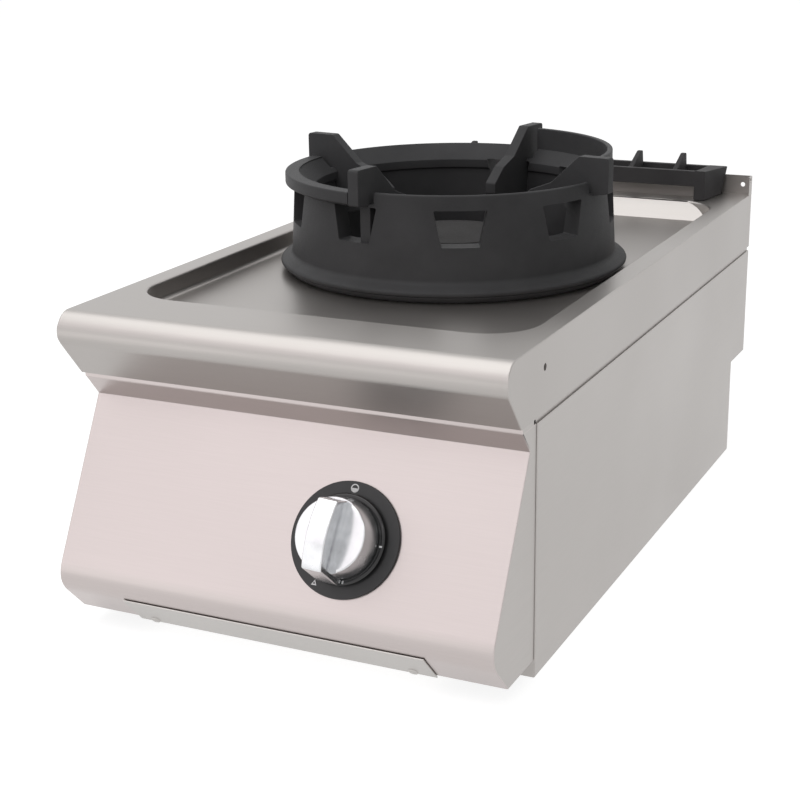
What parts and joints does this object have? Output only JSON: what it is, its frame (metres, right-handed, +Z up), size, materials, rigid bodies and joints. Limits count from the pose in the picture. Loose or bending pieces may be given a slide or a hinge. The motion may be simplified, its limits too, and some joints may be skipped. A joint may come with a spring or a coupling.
{
  "type": "wok range",
  "caption": "Table-top gas wok range: steel body with sunken worktop, cast wok ring over a ring burner, flue grille, push-and-turn gas knob and pull-out drip tray.",
  "frame": {"origin": "middle of the footprint, on the surface that the range stands on", "axes": "+Z up, -Y towards the user (control panel side), +X to the user's right"},
  "size_m": [0.4, 0.7792, 0.3771],
  "materials": {
    "worktop_steel": "fine brushed stainless steel",
    "body_steel": "satin stainless steel",
    "panel_steel": "pale satin stainless steel",
    "tray_steel": "satin stainless steel",
    "ring_iron": "matt enamelled cast iron",
    "grille_iron": "matt enamelled cast iron",
    "burner_iron": "bare cast iron",
    "black_plastic": "satin black moulded plastic",
    "knob_chrome": "satin chrome plating",
    "zinc": "zinc plated",
    "valve_brass": "machined brass",
    "copper_tube": "drawn copper tube"
  },
  "bodies": {
    "body": {"worktop": "worktop_steel", "side_panel_left": "body_steel", "side_panel_right": "body_steel", "rear_panel_upper": "body_steel", "rear_panel_lower": "body_steel", "front_rail": "body_steel", "control_panel": "panel_steel", "knob_bezel": "black_plastic", "valve_body": "valve_brass", "valve_cap": "valve_brass", "valve_screw_left": "zinc", "valve_screw_right": "zinc", "gas_inlet": "valve_brass", "inlet_locknut": "valve_brass", "inlet_pipe": "zinc", "burner_feed_pipe": "copper_tube", "air_shutter": "zinc", "injector_holder": "valve_brass", "injector": "valve_brass", "burner_bowl": "burner_iron", "burner_crown": "burner_iron", "burner_bracket": "body_steel", "burner_screw_left": "zinc", "burner_screw_right": "zinc", "pilot_burner": "valve_brass", "pilot_pipe": "copper_tube", "thermocouple": "copper_tube", "ring_base": "ring_iron", "flue_duct": "body_steel", "tray_runner_left": "body_steel", "tray_runner_right": "body_steel"},
    "plug": {"valve_plug": "valve_brass"},
    "knob": {"control_knob": "knob_chrome", "knob_skirt": "black_plastic", "valve_stem": "zinc"},
    "ring": {"wok_ring": "ring_iron"},
    "grille": {"flue_grille": "grille_iron"},
    "cap": {"burner_cap": "burner_iron"},
    "tray": {"drip_tray": "tray_steel"}
  },
  "joints": [
    {"name": "knob_turn", "type": "hinge", "parent": "body", "child": "plug", "pos_m": [0.06, -0.33236, 0.1181], "axis": [0, -0.8829, 0.4695], "range_deg": [0, 150]},
    {"name": "knob_push", "type": "slide", "parent": "plug", "child": "knob", "axis": [0, 0.8829, -0.4695], "range_m": [0, 0.003], "stiffness_N_per_m": 1500, "springref_m": -0.002},
    {"name": "ring_lift", "type": "slide", "parent": "body", "child": "ring", "axis": [0, 0, 1], "range_m": [0, 0.15]},
    {"name": "grille_lift", "type": "slide", "parent": "body", "child": "grille", "axis": [0, 0, 1], "range_m": [0, 0.1]},
    {"name": "cap_lift", "type": "slide", "parent": "body", "child": "cap", "axis": [0, 0, 1], "range_m": [0, 0.12]},
    {"name": "tray_pull", "type": "slide", "parent": "body", "child": "tray", "axis": [0, -1, 0], "range_m": [0, 0.45]}
  ]
}
